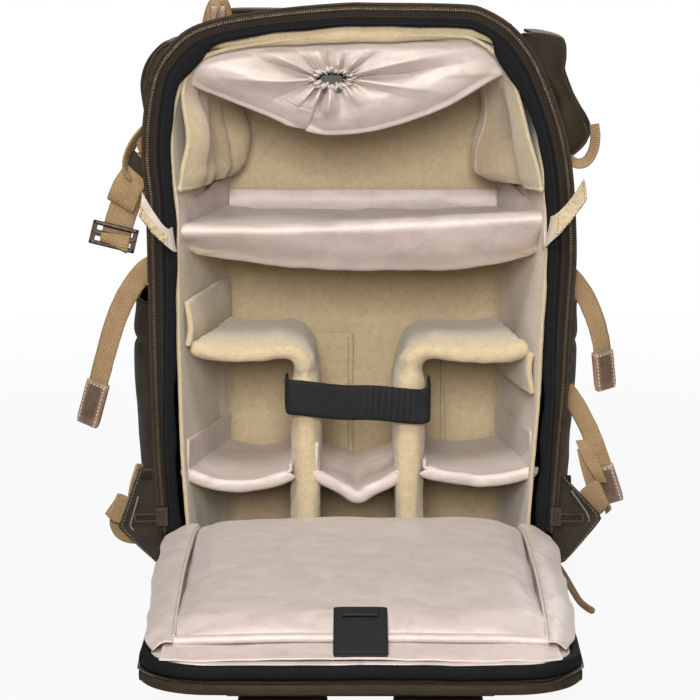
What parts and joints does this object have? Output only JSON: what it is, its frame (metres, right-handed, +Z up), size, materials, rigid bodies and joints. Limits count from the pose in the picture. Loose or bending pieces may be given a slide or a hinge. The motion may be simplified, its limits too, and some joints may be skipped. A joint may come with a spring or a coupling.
{
  "type": "camera backpack",
  "caption": "Rear-opening roll-top camera backpack standing open: padded divider room, gathered top collar, computer sleeve on the folded-down rear panel.",
  "frame": {"origin": "middle of the flat base that the bag stands on", "axes": "+Z up; the opening faces -Y, where the rear panel lies folded down; +X to the right seen from the open side"},
  "size_m": [0.4121, 0.5868, 0.436],
  "materials": {
    "canvas": "dark brown waxed cotton canvas, fine plain weave, dull sheen",
    "boot_canvas": "heavier dark brown coated canvas",
    "wing_canvas": "dark brown canvas with stitched edges",
    "facing_canvas": "brown zip tape and facing",
    "fleece": "brushed khaki fleece",
    "satin": "pinkish taupe satin lining, soft sheen",
    "binding": "near-black grosgrain binding",
    "brass_teeth": "antique brass, darkened",
    "zip_metal": "dark antique brass",
    "black_webbing": "black woven hook-and-loop webbing",
    "tan_webbing": "tan woven webbing",
    "leather": "mid-brown leather, stitched",
    "dark_metal": "bronzed steel",
    "black_cord": "black braided elastic cord",
    "tan_cord": "tan braided cord",
    "black_plastic": "black moulded plastic",
    "spring_steel": "steel wire",
    "mesh_pad": "black spacer mesh over foam"
  },
  "bodies": {
    "pack_body": {"base_boot": "boot_canvas", "compression_webbing": "tan_webbing", "cord_lock_body": "black_plastic", "cord_lock_spring": "spring_steel", "divider_flap_left": "satin", "divider_flap_right": "satin", "divider_left": "fleece", "divider_right": "fleece", "drawstring_collar": "satin", "drawstring_cord": "black_cord", "foam_floor": "fleece", "foam_wall_far": "fleece", "foam_wall_left": "fleece", "foam_wall_right": "fleece", "front_canvas": "canvas", "front_pocket": "canvas", "front_pocket_zip": "brass_teeth", "haul_handle": "tan_webbing", "hinge_gusset": "canvas", "leather_tips": "leather", "lens_strap": "black_webbing", "puller_cord": "tan_cord", "rim_binding": "binding", "rim_zip_tape": "facing_canvas", "rim_zip_teeth": "brass_teeth", "roll_end_left": "canvas", "roll_end_right": "canvas", "roll_strap": "tan_webbing", "roll_top": "canvas", "roof_canvas": "canvas", "side_canvas_left": "canvas", "side_canvas_right": "canvas", "side_pocket_left": "canvas", "side_pocket_right": "canvas", "sling_centre": "satin", "sling_left": "satin", "sling_right": "satin", "strap_tails": "tan_webbing", "strap_wings": "wing_canvas", "top_divider": "satin", "tri_glide": "dark_metal", "upper_fleece": "fleece", "webbing_keeper": "black_webbing", "webbing_loops": "tan_webbing", "wing_webbing": "tan_webbing"},
    "rear_panel": {"panel_core": "mesh_pad", "panel_edge_canvas": "canvas", "panel_zip_teeth": "brass_teeth", "panel_binding": "binding", "computer_sleeve": "satin", "back_pads": "mesh_pad", "shoulder_straps": "mesh_pad", "strap_webbing": "tan_webbing", "harness_yoke": "mesh_pad"},
    "sleeve_tab": {"sleeve_tab": "black_webbing"},
    "zip_slider_left": {"zip_slider_left": "zip_metal"},
    "zip_slider_right": {"zip_slider_right": "zip_metal"},
    "zip_pull_left": {"zip_pull_left": "zip_metal"},
    "zip_pull_right": {"zip_pull_right": "zip_metal"},
    "cord_lock_button": {"cord_lock_button": "black_plastic"}
  },
  "joints": [
    {"name": "rear_panel_hinge", "type": "hinge", "parent": "pack_body", "child": "rear_panel", "pos_m": [0, -0.0915, 0.044], "axis": [-1, 0, 0], "range_deg": [0, 90], "deforming": ["divider_flap_left", "divider_flap_right"]},
    {"name": "zip_slide_left", "type": "slide", "parent": "pack_body", "child": "zip_slider_left", "axis": [-0.0208, 0, 0.9998], "range_m": [0, 0.19]},
    {"name": "zip_pull_swing_left", "type": "hinge", "parent": "zip_slider_left", "child": "zip_pull_left", "pos_m": [-0.14453, -0.0972, 0.05906], "axis": [0.0208, 0, -0.9998], "range_deg": [-150, 0]},
    {"name": "zip_slide_right", "type": "slide", "parent": "pack_body", "child": "zip_slider_right", "axis": [0.0208, 0, 0.9998], "range_m": [0, 0.19]},
    {"name": "zip_pull_swing_right", "type": "hinge", "parent": "zip_slider_right", "child": "zip_pull_right", "pos_m": [0.14453, -0.0972, 0.05906], "axis": [0.0208, 0, 0.9998], "range_deg": [-150, 0]},
    {"name": "sleeve_tab_hinge", "type": "hinge", "parent": "rear_panel", "child": "sleeve_tab", "pos_m": [0, -0.4575, 0.0586], "axis": [-1, 0, 0], "range_deg": [-150, 0]},
    {"name": "cord_lock_press", "type": "slide", "parent": "pack_body", "child": "cord_lock_button", "axis": [0, 0, -1], "range_m": [0, 0.003], "stiffness_N_per_m": 400, "springref_m": -0.002, "deforming": ["cord_lock_spring"]}
  ]
}
